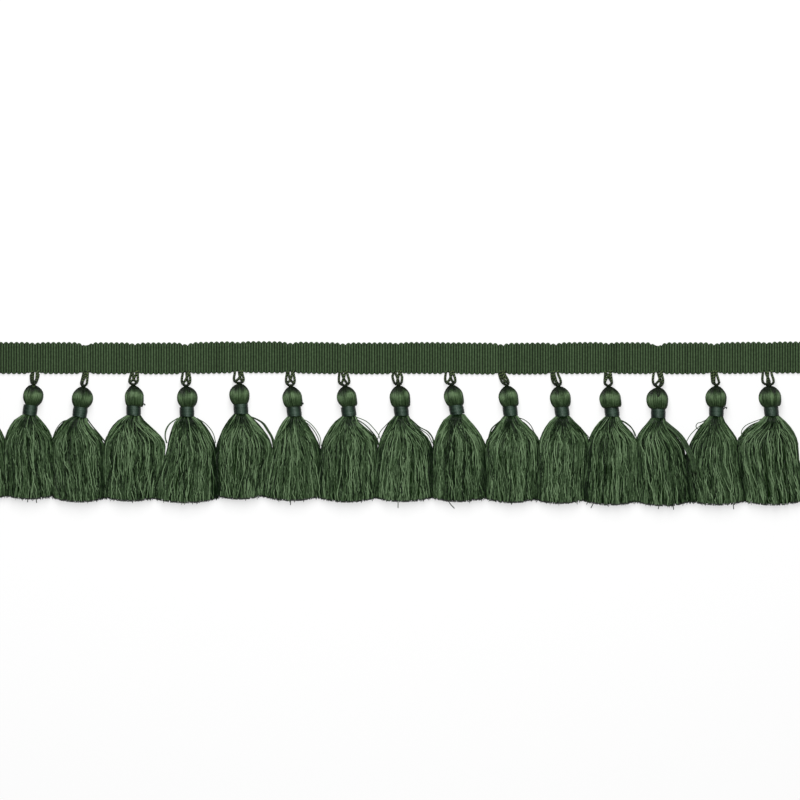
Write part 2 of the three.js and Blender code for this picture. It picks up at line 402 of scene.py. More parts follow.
skirt_silk = thread_finish("skirt_silk", (2, 23, 0), (64, 87, 55), (113, 138, 101), 0.42, 0.3, 0.6)
head_silk = thread_finish("head_silk", (9, 18, 6), (48, 68, 40), (98, 122, 86), 0.38, 0.2, 0.4)
neck_thread = thread_finish("neck_thread", (16, 28, 22), (44, 62, 50), (68, 88, 75), 0.36, 0.3, 0.3)
loop_thread = thread_finish("loop_thread", (4, 12, 2), (30, 43, 18), (84, 102, 60), 0.5, 0.2, 0.6)
# A darker copy of the silk, painted shade, for the beads and skirt bodies that show only between the threads.
shaded_core_silk = thread_finish("shaded_core_silk", (22, 40, 16), (26, 44, 20), (30, 50, 24), 0.8, 0.0, 0.3)
print("thread materials:", [m.name for m in bpy.data.materials])

# %% [markdown]
# ## The heading tape
#
# The tape is woven like a corded ribbon. Its thick weft runs across in ribs and turns at each edge, so two
# ribs share one round turn. It doesn't lie quite straight, which three small functions describe: its lower
# edge is drawn in where a loop is woven in, its top edge dips there, and the whole tape waves a little.

# %% Sizes and edges of the heading tape
RIB_PAIR = PITCH / 10  # one turn of the weft: two ribs
RIB_PAIRS = 161
TAPE_HALF_WIDTH = 7.6
DRAWN_IN = 0.9  # the lower edge at a loop
DRAWN_REACH = 3.3  # to either side of it
DIP_REACH = 2.6
DIPS = [0.4, 0.4, 1.6, 0.6, 1.0, 0.4, 0.7, 0.6, 0.4, 0.1, 0.8, 0.7, 0.5, 1.8, 0.8, 0.4]  # one for each tassel

# How far the tape's middle is above the straight line at some places along it.
WAVES = table_of("at above", [
    (-201.0, 0.0), (-170.0, 0.0), (-102.0, -0.2), (-62.0, 0.4), (-7.0, -0.2), (19.0, 0.0), (62.0, -0.35),
    (100.0, 0.0), (142.0, -0.15), (201.0, 0.25),
])


def drawn_in(x):
    """How much the lower edge is drawn in at x: 1 at a loop, 0 away from it."""
    steps = [(x - loop_at(n)) / DRAWN_REACH for n in range(len(TASSELS))]
    return np.max([np.exp(-(s**4)) for s in steps], axis=0)


def dipped(x):
    """How far the top edge is pulled down at x."""
    pulls = [DIPS[n] * np.exp(-(((x - loop_at(n)) / DIP_REACH) ** 2)) for n in range(len(TASSELS))]
    return np.sum(pulls, axis=0)


def waved(x):
    """How far the tape's middle is above the straight line at x."""
    above = np.zeros_like(x)
    for start, end in zip(WAVES, WAVES[1:]):
        above = np.where(x >= start.at, mix(start.above, end.above, smooth(x, start.at, end.at)), above)
    return above


print("heading tape:", RIB_PAIR * RIB_PAIRS, "mm long,", 2 * TAPE_HALF_WIDTH, "mm wide")

# %% [markdown]
# The relief of the ribs is real, because it shows in the outline. A box is cut into many columns, and into
# rows that lie closer together near the tape's edges. Each point is then moved to the ribs' profile.

# %% The tape's ribs and turns
TAPE_THICK = 1.4
TAPE_ROWS = [0.0, 0.12, 0.3, 0.55, 0.95, 2.5]  # distances from an edge
ROWS = 2 * len(TAPE_ROWS) - 1
COLUMNS_PER_PAIR = 8
TURN_DEPTH = 0.85
LOWER_TURNS = 0.8  # share of it at the lower edge
TURNS_OUT = 0.1  # past the tape's width
RIB_DEPTH = 0.42
ROUND_TURN = 0.9  # below 1 for broad crests and narrow valleys
ROUND_RIB = 0.6
PAIRS_PART = (0.2, 0.9)  # from the edge: here a turn parts into its two ribs
DEEP_DIP = (0.9, 1.5)  # dips this deep hide the turns
EDGE_ROUNDING = 0.55
EDGE_THIN = 0.35  # share of the thickness at the very edge
RIB_TONE = 0.5
RIBS_VARY = 0.04
# Painted light on the ribs' crests and painted shade in their grooves.
CRESTS_LIT = 0.16
GROOVES_SHADED = 0.88


def heading_mesh():
    """The tape, with the tones of its ribs: their own slight differences, painted light on the crests and
    painted shade in the grooves.
    """
    bm = bmesh.new()
    bmesh.ops.create_cube(bm, size=1.0)
    bmesh.ops.scale(bm, vec=(RIB_PAIR * RIB_PAIRS, 1.0, 1.0), verts=bm.verts)
    bmesh.ops.subdivide_edges(bm, edges=edges_along(bm, 0), cuts=RIB_PAIRS * COLUMNS_PER_PAIR - 1)
    bmesh.ops.subdivide_edges(bm, edges=edges_along(bm, 1), cuts=ROWS - 2, use_grid_fill=True)
    mesh = as_mesh(bm, "heading")
    points = points_of(mesh)
    x, y, z = points.T
    row = np.rint((y + 0.5) * (ROWS - 1)).astype(int)
    from_edge = np.array(TAPE_ROWS)[np.minimum(row, ROWS - 1 - row)]
    pair = x / RIB_PAIR + 0.5 * RIB_PAIRS
    lower = y < 0
    between_turns = 1 - np.abs(np.sin(np.pi * (pair + np.where(lower, 0.5, 0.0)))) ** ROUND_TURN
    between_ribs = 1 - np.abs(np.sin(np.pi * 2 * pair)) ** ROUND_RIB
    groove = mix(between_turns, between_ribs, smooth(from_edge, *PAIRS_PART))
    pull = drawn_in(x)
    depth = TURN_DEPTH * np.where(lower, LOWER_TURNS * (1 - pull), 1 - smooth(dipped(x), *DEEP_DIP))
    edge = TAPE_HALF_WIDTH + TURNS_OUT - depth * between_turns - np.where(lower, DRAWN_IN * pull, dipped(x))
    rounding = np.sqrt(np.clip(1 - (1 - np.minimum(from_edge / EDGE_ROUNDING, 1)) ** 2, 0, 1))
    half = TAPE_THICK / 2 * mix(EDGE_THIN, 1.0, rounding) - RIB_DEPTH * groove * rounding * (z > 0)
    inwards = np.where(row == (ROWS - 1) / 2, edge, from_edge)
    points[:, 1] = np.sign(y) * (edge - inwards) + waved(x)
    points[:, 2] = TAPE_THICK / 2 + np.sign(z) * half
    move_points(mesh, points)
    rib_tone = np.random.default_rng(7).normal(RIB_TONE, RIBS_VARY, RIB_PAIRS * 2 + 2)
    rib = np.clip(np.floor(pair * 2).astype(int), 0, RIB_PAIRS * 2)
    # Each rib's own slight tone, with painted light on the crests and painted shade in the grooves.
    give_tones(mesh, rib_tone[rib] + CRESTS_LIT - GROOVES_SHADED * groove)
    return mesh


# %% [markdown]
# The fine warp threads over the ribs are far too thin to model and don't show in the outline, so they are
# bump: a slightly uneven wave across the tape's width.

# %% The heading tape
WARP_PITCH = 0.6  # from one warp thread to the next
WARP_RELIEF = 0.5
WARP_DEPTH = 0.00006  # metres
WAVES_PER_UNIT = 20 / (2 * math.pi)  # of a wave texture of scale 1


def tape_finish():
    """Dull thread, with the fine warp threads as bump along the length."""
    material = thread_finish("heading_thread", (12, 20, 8), (52, 70, 44), (84, 106, 74), 0.62, 0.1, 0.5)
    nodes = material.node_tree.nodes
    links = material.node_tree.links
    warp = added(nodes, "TexWave", Scale=1 / (WARP_PITCH * MM) / WAVES_PER_UNIT, Distortion=0.6)
    warp.bands_direction = "Y"
    links.new(added(nodes, "TexCoord").outputs["Object"], warp.inputs["Vector"])
    relief = added(nodes, "Bump", Strength=WARP_RELIEF, Distance=WARP_DEPTH)
    links.new(warp.outputs["Fac"], relief.inputs["Height"])
    links.new(nodes["Bump"].outputs["Normal"], relief.inputs["Normal"])
    links.new(relief.outputs["Normal"], nodes["Principled BSDF"].inputs["Normal"])
    return material


heading = piece("heading", heading_mesh(), [tape_finish()], "heading", "heading_tape")
print("heading tape:", triangles([heading]), "triangles")

# %% [markdown]
# ## The loops
#
# Each tassel hangs from two fine cords. A cord leaves the tape, bows out, turns in the top of the head and
# comes back across the other. Nine corners and a smooth curve through them describe its way.

# %% The way of each cord
CORD = 1.15  # thickness
CORD_OVER = CORD * 1.15  # the right cord lies over the left
CORD_HELD = CORD * 0.92  # the same at the turn, where both are held
CORD_LEAVES = 0.8  # share of half the loop's width
LOW_AT = 0.82  # share of the way down, where it turns round
CLEARANCE = 0.32  # from the tape's edge
INTO_TAPE = 0.9
INTO_HEAD = 0.5
ROUTE_POINTS = 91

# widest: how far down the loop is widest. round: how wide it still is at its low end. The others say where
# the returning half of each cord passes the low end, the middle and the top, from -1, left, to 1, right.
RINGS = table_of("widest round left_low left_middle left_top right_low right_middle right_top", [
    (0.5, 0.85, 0.2, 0.4, -0.2, -0.2, -0.4, 0.2), (0.15, 0.6, -0.2, -0.35, -0.45, 0.2, 0.55, 0.5),
    (0.6, 0.95, -0.55, -0.5, -0.4, -0.9, -0.4, 0.4), (0.55, 0.85, 0.75, 0.0, -0.4, -0.75, -0.1, 0.4),
    (0.45, 0.8, 0.6, 0.3, 0.1, -0.6, -0.1, 0.5), (0.45, 0.85, 0.65, 0.35, 0.15, -0.65, 0.0, 0.55),
    (0.45, 0.85, 0.75, 0.0, -0.4, -0.75, 0.0, 0.4), (0.5, 0.85, 0.5, 0.1, -0.25, -0.5, -0.15, 0.3),
    (0.25, 0.7, 0.15, 0.1, -0.25, -0.15, 0.0, 0.4), (0.45, 0.85, 0.5, 0.2, 0.1, -0.55, -0.1, 0.4),
    (0.5, 0.8, 0.6, -0.1, -0.3, -0.5, 0.1, 0.3), (0.45, 0.8, 0.2, -0.35, -0.5, -0.2, -0.1, -0.1),
    (0.6, 0.9, 0.95, 0.65, -0.4, -0.95, -0.65, 0.4), (0.45, 0.8, 0.45, 0.5, 0.1, -0.5, 0.2, 0.6),
    (0.6, 0.9, -0.5, -0.3, 0.2, -0.7, -0.4, -0.1), (0.5, 0.85, 0.2, 0.2, -0.2, -0.2, -0.1, 0.15),
])


def through(corners, points):
    """A smooth route through corners, as evenly spaced points, and its length. It is a Catmull-Rom curve."""
    corners = np.asarray(corners, dtype=float)
    ends = np.vstack([2 * corners[0] - corners[1], corners, 2 * corners[-1] - corners[-2]])
    parts = []
    for i in range(len(corners) - 1):
        p0, p1, p2, p3 = ends[i : i + 4]
        s = np.linspace(0, 1, points, endpoint=False)[:, None]
        curve = 2 * p1 + (p2 - p0) * s + (2 * p0 - 5 * p1 + 4 * p2 - p3) * s**2
        parts.append((curve + (3 * p1 - p0 - 3 * p2 + p3) * s**3) / 2)
    fine = np.vstack([*parts, corners[-1:]])
    far = np.concatenate([[0], np.cumsum(np.linalg.norm(np.diff(fine, axis=0), axis=1))])
    even = np.linspace(0, far[-1], points)
    return np.stack([np.interp(even, far, fine[:, k]) for k in range(3)], axis=1), far[-1]


def cord_route(n, side):
    """One cord of tassel n's loop: side -1 is the left one, and 1 the right one, on top."""
    knot, _, _ = hang_of(n)
    ring = RINGS[n]
    half = CORD / 2
    top = -TAPE_HALF_WIDTH + DRAWN_IN - CLEARANCE - half
    turn = knot[1] + half - INTO_HEAD
    reach = TASSELS[n].loop / 2 - half
    lift = CORD_OVER if side > 0 else 0.0
    sunk = TAPE_THICK / 2
    low, middle, top_end = ring[2:5] if side < 0 else ring[5:8]

    def at(down, across):
        """A point, for shares of the way down the loop and of its half width to the right."""
        height = mix(TAPE_THICK / 2, knot[2], smooth(down, 0.0, 1.0)) + lift
        return mix(loop_at(n), knot[0], down) + across * reach, mix(top, turn, down), height

    return [
        (loop_at(n) + side * reach * CORD_LEAVES, top + half + INTO_TAPE, sunk),
        at(0.0, side * CORD_LEAVES),
        at(ring.widest, side),
        at(LOW_AT, side * ring.round),
        (knot[0], turn, knot[2] + side * CORD_HELD / 2),
        at(LOW_AT, low),
        at(0.5, middle),
        at(0.0, top_end),
        (loop_at(n) + top_end * reach, top + half + INTO_TAPE, sunk),
    ]


print("one cord:", round(through(cord_route(0, 1), ROUTE_POINTS)[1], 1), "mm long")

# %% [markdown]
# A cord is two threads twisted together, so each of these plies is laid as a helix about the cord's route.
# One is much lighter than the other, which makes the twist show, and both are darker in the knot's shade.

# %% Twisted cords
PLY = 0.41  # radius
PLY_TWIST = 1.7  # length of one turn
PLY_TONES = [0.0, 0.68, 0.05, 0.78]  # left cord, right cord
KNOT_SHADE = 0.5
SHADE_REACH = 0.25  # share of half the cord


def loop_mesh(n):
    routes = []
    for side in (-1, 1):
        route, length = through(cord_route(n, side), ROUTE_POINTS)
        route[:, 2] = np.maximum(route[:, 2], CORD / 4 + PLY)
        ahead = unit(np.gradient(route, axis=0))
        sideways = unit(np.cross(ahead, UP))
        upwards = np.cross(ahead, sideways)
        turns = np.linspace(0, 2 * math.pi * length / PLY_TWIST, ROUTE_POINTS)[:, None]
        for phase in (0.0, math.pi):
            away = np.cos(turns + phase) * sideways + np.sin(turns + phase) * upwards
            routes.append(route + away * CORD / 4)
    at_knot = np.exp(-((np.linspace(-1, 1, ROUTE_POINTS) / SHADE_REACH) ** 2))
    tones = np.array(PLY_TONES)[:, None] - KNOT_SHADE * at_knot
    return laid(np.array(routes), PLY, UP, tones, sides=5)


# %% [markdown]
# ## The heads
#
# A head is a bead with the tassel's own threads drawn over it, from the hole at its top down to the neck. No
# head is quite a ball: some are squarer below, or hang lower at one side. The bead and its threads both
# follow one surface.

# %% The form of a head
BALL_TOP = 0.1  # down from the knot
SAGS = 0.65  # the ball below its drawn-up top
BALL_SQUASH = 0.97
HOLE_DEGREES = 9  # from the top of the bead: the threads come out of its hole
LEAVES_DEGREES = 142  # and leave it for the neck
LEAVES_AT = 0.86  # at this share of the way
HEAD_END = 0.5  # under the binding
NECK_RADIUS = 2.75

# aside: a head's step to the right of the axis. wide: its diameter across. pointed: how much its upper half
# is narrowed. left and right: how square that side is below. droop: how much lower its right side hangs.
HEADS = table_of("aside wide pointed left right droop", [
    (0.0, 9.5, 0.0, 0.3, 0.4, 0.3), (0.55, 9.3, -0.14, 0.1, 0.1, 0.0), (0.25, 9.8, -0.04, 0.3, 0.0, 0.0),
    (0.4, 8.6, 0.12, 0.8, 0.9, 1.1), (0.4, 9.45, -0.08, 0.1, 0.3, 0.0),
    (-0.25, 9.2, -0.06, 0.4, 0.5, 0.3), (0.0, 9.0, 0.1, 0.6, 0.9, 0.7),
    (0.15, 9.1, -0.02, 0.0, 0.9, 0.4), (0.12, 9.3, 0.04, 0.7, 0.7, 1.2), (0.0, 8.8, 0.09, 0.5, 0.7, 0.9),
    (0.05, 8.9, 0.06, 0.5, 0.9, 0.7), (0.2, 9.5, 0.0, 0.4, 0.5, 0.5), (0.0, 9.85, 0.11, 0.5, 0.9, 0.5),
    (-0.45, 10.0, -0.04, 0.3, 0.6, 0.3), (-0.2, 9.8, 0.06, 0.3, 0.7, 0.3),
    (-0.05, 10.3, -0.06, 0.1, 0.7, 0.1),
])


def from_axis(n, radius, down, turn):
    """A point of tassel n, by its distance from the axis, length down and turn round it, in millimetres."""
    knot, along, across = hang_of(n)
    radius, down, turn = (np.asarray(a, dtype=float)[..., None] for a in (radius, down, turn))
    return knot + along * down + (across * np.cos(turn) + np.array(UP) * np.sin(turn)) * radius


def head_profile(n, share, turn):
    """Radius of the head's surface and length down from the knot, at a share of the way to the neck."""
    row = HEADS[n]
    ball = TASSELS[n].ball / 2
    degrees = mix(HOLE_DEGREES, LEAVES_DEGREES, np.minimum(share / LEAVES_AT, 1.0))
    to_right = (1 + np.cos(turn)) / 2
    square = mix(row.left, row.right, to_right) * smooth(degrees, 90, 110)
    form = 1 - row.pointed * (1 - smooth(degrees, 20, 90))
    radius = row.wide / 2 * np.sin(np.radians(degrees)) ** (1 - square) * form
    down = BALL_TOP + SAGS * smooth(degrees, 0, 55) + ball * BALL_SQUASH * (1 - np.cos(np.radians(degrees)))
    last = np.clip((share - LEAVES_AT) / (1 - LEAVES_AT), 0, 1)
    droop = row.droop * to_right**2 * smooth(degrees, 95, 135) * (1 - smooth(share, 0.9, 1.0))
    return mix(radius, NECK_RADIUS, smooth(last, 0, 1)), mix(down, NECK_TOP + HEAD_END, last) + droop


def head_aside(n, share):
    """How far the head's surface is shifted to the right."""
    return HEADS[n].aside * smooth(share, 0.0, 0.3) * (1 - smooth(share, LEAVES_AT, 1.0))


print("heads:", min(row.wide for row in HEADS), "to", max(row.wide for row in HEADS), "mm wide")

# %% [markdown]
# The bead is a turned form: a profile spun round the tassel's axis. It wears the dark core silk, painted
# shade where it shows between the threads.

# %% The bead inside a head
BEAD_LEVELS = 14
BEAD_SEGMENTS = 20
HEAD_THREAD = 0.2  # radius


def bead_mesh(n):
    bm = bmesh.new()
    shares = np.linspace(0, 1, BEAD_LEVELS)
    radius, down = head_profile(n, shares, math.pi)
    radius = radius - HEAD_THREAD
    profile = [(0.0, down[0]), *zip(radius, down), (NECK_RADIUS - HEAD_THREAD, NECK_END), (0.0, NECK_END)]
    asides = [0.0, *head_aside(n, shares), 0.0, 0.0]
    corners = [bm.verts.new(from_axis(n, r, d, 0.0)) for r, d in profile]
    edges = [bm.edges.new(pair) for pair in zip(corners, corners[1:])]
    knot, along, across = hang_of(n)
    spun = {"cent": knot, "axis": along, "angle": 2 * math.pi, "steps": BEAD_SEGMENTS, "use_merge": True}
    bmesh.ops.spin(bm, geom=corners + edges, **spun)
    bmesh.ops.remove_doubles(bm, verts=bm.verts, dist=1e-4)
    for corner in bm.verts:
        level = float(np.dot(np.array(corner.co) - knot, along))
        corner.co += Vector(across * np.interp(level, [d for _, d in profile], asides))
    bmesh.ops.recalc_face_normals(bm, faces=bm.faces)
    bmesh.ops.scale(bm, vec=(MM, MM, MM), verts=bm.verts)
    return in_second_material(as_mesh(bm, "bead"))


# %% [markdown]
# The threads are laid over the bead from top to bottom. Their tones give the head its look in painted light
# and shade: a painted dark cap of shade round the hole, then a painted gleam, stronger and weaker round the
# head, so that it breaks into soft lobes. The sides get painted shade where they turn away, and the lower
# part a little painted light from the table.

# %% Threads drawn over the bead
HEAD_THREADS = 118
HEAD_POINTS = 11
SWIRL = 0.14  # radians round the head on the way down
PROUD = 0.05  # one thread above the others
HEAD_TONE = 0.4
HEAD_VARIES = 0.08
# Painted light and shade: the sides darker, a gleam round the middle, a dark cap round the hole, the lower
# part lighter.
ROUND_SHADED = 0.25
GLEAM_AT = 0.48  # share of the way down
GLEAM_ABOVE = 0.115  # its reach from there
GLEAM_BELOW = 0.16
GLEAM_LIGHTER = 0.48
CAP_END = 0.415
CAP_FADES = 0.2
CAP_SHADED = 0.45
BELOW_LIGHTER = 0.07  # light from the table


def head_tones(n, rng, turn, share):
    """Tones of a head's threads, in painted light and shade, for turns round the axis and shares of the way
    down.
    """
    tones = HEAD_TONE + rng.normal(0, HEAD_VARIES, HEAD_THREADS)
    # painted shade at the sides, where the head turns away
    tones = tones - ROUND_SHADED * np.abs(np.cos(turn)) ** 8
    # a painted gleam, broken into soft lobes round the head
    gleam_at = GLEAM_AT + 0.05 * np.sin(turn * 3 + 2 * n)[:, None]
    lobes = 1 + 0.26 * np.sin(turn * 5 + 2.1 * n) + 0.14 * np.sin(turn * 9 + n)
    lobes = lobes + rng.normal(0, 0.1, HEAD_THREADS)
    reach = np.where(share < gleam_at, GLEAM_ABOVE, GLEAM_BELOW)
    gleam = np.exp(-(((share - gleam_at) / reach) ** 2)) * lobes[:, None]
    # a painted cap of shade round the hole
    cap_end = CAP_END + 0.05 * np.sin(turn * 7 + 1.3 * n)[:, None]
    cap = 1 - smooth(share, cap_end - CAP_FADES, cap_end)
    tones = tones[:, None] + GLEAM_LIGHTER * gleam - CAP_SHADED * cap
    return tones + BELOW_LIGHTER * smooth(share, 0.6, 0.8)


def head_threads(n):
    rng = np.random.default_rng(100 + n)
    turn = np.linspace(0, 2 * math.pi, HEAD_THREADS, endpoint=False) + rng.normal(0, 0.02, HEAD_THREADS)
    share = np.linspace(0, 1, HEAD_POINTS)[None, :]
    radius, down = head_profile(n, share, turn[:, None])
    swing = (SWIRL * math.sin(1.7 * n) + rng.normal(0, 0.08, HEAD_THREADS))[:, None] * (share - 0.4)
    proud = rng.normal(0, PROUD, HEAD_THREADS)[:, None] * np.sin(math.pi * share)
    routes = from_axis(n, radius + proud, down, turn[:, None] + swing)
    knot, along, across = hang_of(n)
    routes = routes + across * head_aside(n, share)[..., None]
    radii = HEAD_THREAD * np.clip(radius / 3.0, 0.35, 1.0)
    routes[..., 2] = np.maximum(routes[..., 2], radii)
    facing = -unit(np.cross(along, routes - knot))
    return laid(routes, radii, facing, head_tones(n, rng, turn, share), sides=3)


# %% [markdown]
# On two heads a bit of cord lies in a small bow of its own. It is joined to the loop's piece.

# %% Heads and loops
BIT_STARTS = 0.04  # share of the way down the head
BIT_THREAD = 0.26  # radius
BIT_POINTS = 16

# reach: how far down the head a bit lies. wide: half its width, in radians round the head.
BITS = table_of("tassel reach wide tone", [(1, 0.16, 0.2, 0.6), (13, 0.42, 0.16, -0.2)])


def bit_meshes(n):
    made = []
    for row in rows_of(BITS, n):
        along_it = np.linspace(-1, 1, BIT_POINTS)
        share = BIT_STARTS + (row.reach - BIT_STARTS) * (1 - along_it**2)
        turn = math.pi / 2 - row.wide * along_it
        radius, down = head_profile(n, share, turn)
        route = from_axis(n, radius + BIT_THREAD, down, turn)
        made.append(laid(route[None], BIT_THREAD, UP, row.tone, sides=5))
    return made


one_for_each("head", lambda n: [bead_mesh(n), head_threads(n)], [head_silk, shaded_core_silk], "silk", "tassel")
one_for_each("loop_cords", lambda n: [loop_mesh(n), *bit_meshes(n)], [loop_thread], "loop_cord", "loop")

# %% [markdown]
# ## The neck bindings
#
# Finer thread is wound tightly round each neck. It is one long thread, so it is laid as one helix whose turns
# touch. The band is a little fuller in its middle. Its tones are painted shade at its sides, where it turns
# away from the light, and a painted highlight a little right of its middle.

# %% Neck bindings
BINDING_RADIUS = 3.6
FULLER = 0.12  # in the middle
WOUND_THREAD = 0.17  # radius
WINDING = 0.29  # between turns
STEPS_PER_TURN = 22
BINDING_TONE = 0.93
# painted shade at the band's sides
SIDES_SHADED = 0.85
END_THREAD = 0.3  # radius
END_TONE = -0.1
END_TURN = 0.25  # radians from the right

# Ends of the winding thread: how far down the tassel they come out, and how far they stick out.
ENDS = table_of("tassel down out", [(3, 9.4, 2.1), (6, 9.0, 1.4), (14, 10.6, 1.5)])


def binding_mesh(n):
    rng = np.random.default_rng(300 + n)
    turns = (NECK_END - NECK_TOP) / WINDING
    share = np.linspace(0, 1, int(turns * STEPS_PER_TURN) + 1)
    turn = share * turns * 2 * math.pi
    down = mix(NECK_TOP + WOUND_THREAD, NECK_END - WOUND_THREAD, share)

    def varying(by):
        """A number that varies by about as much from turn to turn."""
        return np.interp(share * turns, np.arange(int(turns) + 2), rng.normal(0, by, int(turns) + 2))

    fullness = FULLER * np.sin(math.pi * share)
    radius = BINDING_RADIUS - WOUND_THREAD - FULLER + fullness + varying(0.03)
    tones = BINDING_TONE + varying(0.1)
    # Painted shade at the sides, leaving a painted highlight a little right of the middle.
    tones = tones - SIDES_SHADED * smooth(np.abs(np.cos(turn + 0.12)), 0.0, 0.75)
    _, along, _ = hang_of(n)
    return laid(from_axis(n, radius, down, turn)[None], WOUND_THREAD, along, tones[None], sides=4)


def end_meshes(n):
    made = []
    for row in rows_of(ENDS, n):
        steps = [(-0.6, 0.9), (0.0, 0.5), (0.6 * row.out, -0.2), (row.out, 0.1), (row.out - 0.3, 0.5)]
        corners = [from_axis(n, BINDING_RADIUS + out, row.down + down, END_TURN) for out, down in steps]
        made.append(laid(through(corners, 12)[0][None], END_THREAD, UP, END_TONE, sides=5))
    return made


one_for_each("neck", lambda n: [binding_mesh(n), *end_meshes(n)], [neck_thread], "neck_binding", "binding")

# %% [markdown]
# ## The skirts
#
# Below the binding the threads fall open. Each skirt lies on the table like a soft bell: it opens out from
# the neck, meets its neighbours at the belly and ends in a level cut. One function gives a point of that bell
# for a share of the length, of the width and of the height.

# %% The form of a skirt
HEM_Y = -68.4  # the cut ends' regular place
HEM_CURVE = 2.1  # its corners are drawn up
SKIRT_CROWN = 8.4  # height over the table
HEM_CROWN = 6.4
SIDE_FLATNESS = 0.92
ROOT_RADIUS = 3.1
ROOTS_AT = NECK_END - 0.4
OPENS_FROM = 0.015  # shares of the length: a skirt opens out
LIES_AT = 0.24  # lies on the table
BELLY_AT = 0.35  # is widest
CLOSES_BY = 0.7  # has closed a gap beside its belly
TURNS_DOWN = 0.975  # and curls down
CURL = 0.3  # share of the height lost by that
PRESSED = -0.5  # gap between skirts that press together

# Where each skirt meets the next at the belly and the hem, as steps from the middle between their regular
# places. shade: how much more painted shade darkens the furrow there. apart: the gap at the belly. The first
# and last rows are free sides.
MEETINGS = table_of("belly hem shade apart", [
    (3.4, 3.7), (0.6, 0.9, 0.15), (-1.3, -0.6, -0.25), (-2.3, -1.6), (2.3, -2.4, -0.2, 1.6),
    (1.1, 0.6, 1.0), (2.7, -1.1), (1.0, 0.5, 0.3), (2.5, 1.4), (3.5, 3.5, 0.5), (4.1, 4.6, 0.5),
    (4.5, 3.1, 0.5), (3.0, 0.9, 0.3), (1.1, 1.1, -0.1), (-1.2, 1.3, 0.8, 0.6), (-1.2, 1.9, 0.4),
    (2.3, 4.5),
], 0.0, PRESSED)

# by: share of its length by which that side of a skirt is fully out. bend: below 1 for a round shoulder,
# above 1 for a slope that starts slowly.
SHOULDERS = table_of("left_by left_bend right_by right_bend", [
    (0.34, 0.9, 0.34, 0.9), (0.46, 0.5, 0.38, 0.8), (0.36, 0.55, 0.38, 1.5), (0.5, 0.55, 0.38, 1.25),
    (0.54, 0.45, 0.52, 0.55), (0.58, 0.7, 0.48, 0.85), (0.6, 0.6, 0.58, 0.85), (0.54, 0.6, 0.34, 1.45),
    (0.64, 0.65, 0.42, 1.3), (0.68, 0.5, 0.46, 0.9), (0.48, 0.85, 0.34, 1.05), (0.44, 0.6, 0.32, 1.0),
    (0.38, 0.7, 0.36, 1.2), (0.3, 1.0, 0.44, 1.6), (0.6, 0.8, 0.36, 1.3), (0.34, 1.1, 0.36, 0.75),
])


def side_of(n, t, right, margin):
    """Where a skirt's side is at share t of its length, less a margin, below 0 to reach outside."""
    row = SHOULDERS[n]
    by, bend = (row.right_by, row.right_bend) if right else (row.left_by, row.left_bend)
    meeting = MEETINGS[n + (1 if right else 0)]
    middle = FIRST_AT + PITCH * (n + (0.5 if right else -0.5))
    outwards = 1 if right else -1
    apart = mix(meeting.apart, PRESSED, smooth(t, BELLY_AT, CLOSES_BY))
    step = mix(meeting.belly, meeting.hem, smooth(t, BELLY_AT, 1.0))
    outer = middle + step - outwards * (margin + apart / 2)
    opened = np.sin(math.pi / 2 * np.clip((t - OPENS_FROM) / (by - OPENS_FROM), 0, 1)) ** bend
    knot, along, _ = hang_of(n)
    neck = knot[0] + along[0] * ROOTS_AT + outwards * ROOT_RADIUS
    return mix(neck, outer, opened)


def skirt_point(n, t, u, v, longer, inset):
    """A point of tassel n's skirt: t along it, u across it and v up it, each a share."""
    knot, along, _ = hang_of(n)
    across = np.clip(2 * u - 1, -1, 1)
    x = mix(side_of(n, t, False, inset), side_of(n, t, True, inset), u)
    hem = HEM_Y - TASSELS[n].hem + HEM_CURVE * across**2 - longer
    y = mix((knot + along * ROOTS_AT)[1], hem, t)
    rounded = np.sqrt(1 - across**2 * SIDE_FLATNESS)
    lie = smooth(t, 0.0, LIES_AT)
    crown = mix(SKIRT_CROWN, HEM_CROWN, smooth(t, BELLY_AT, 1.0)) * (1 - CURL * smooth(t, TURNS_DOWN, 1.02))
    under = mix(knot[2] - ROOT_RADIUS * rounded, 0.0, lie) + inset
    over = mix(knot[2] + ROOT_RADIUS * rounded, crown * rounded, lie) - inset
    return np.stack(np.broadcast_arrays(x, y, mix(under, over, v)), axis=-1)


print("skirts:", len(SHOULDERS), "with", len(MEETINGS), "sides and meetings")

# %% [markdown]
# The table must not show between the threads. So each skirt has a plain dark body inside: a box cut into a
# grid, whose points are moved to the skirt's form, a little smaller. Its dark colour is painted shade, for
# the shaded threads deep inside.

# %% The body inside a skirt
BODY_CUTS = 11
BODY_ENDS = 0.985  # share of the length
BODY_ACROSS = (0.04, 0.96)  # shares of the width
BODY_UP = (0.04, 0.7)  # and of the height
BODY_INSET = 0.3


def skirt_body(n):
    bm = bmesh.new()
    bmesh.ops.create_cube(bm, size=1.0)
    for axis in (0, 1):
        bmesh.ops.subdivide_edges(bm, edges=edges_along(bm, axis), cuts=BODY_CUTS, use_grid_fill=True)
    mesh = as_mesh(bm, "body")
    x, y, z = points_of(mesh).T + 0.5
    along = (1 - y) * BODY_ENDS
    move_points(mesh, skirt_point(n, along, mix(*BODY_ACROSS, x), mix(*BODY_UP, z), 0.0, BODY_INSET))
    return in_second_material(mesh)


# %% [markdown]
# The threads hang in locks: bundles whose threads lie closer together further down. Most go on top, where
# they are seen, and a few are longer than the rest.

# %% Threads in locks
THREADS = 400
SKIRT_THREAD = 0.22  # radius
LOCKS = 22
LOCKS_UNEVEN = 0.3  # shares of their spacing
LOCK_WIDTH = 0.8
LOCKS_CLOSE = 0.4  # closer together at the hem
ROOTS_MIXED = 0.35
ON_TOP = 0.84  # share of the threads
TOP_DEPTH = 0.45  # shares of the skirt's height
LOW_DEPTH = 0.5
LONG_SHARE = 0.012
LONGER_BY = 0.7
ENDS_UNEVEN = 0.07


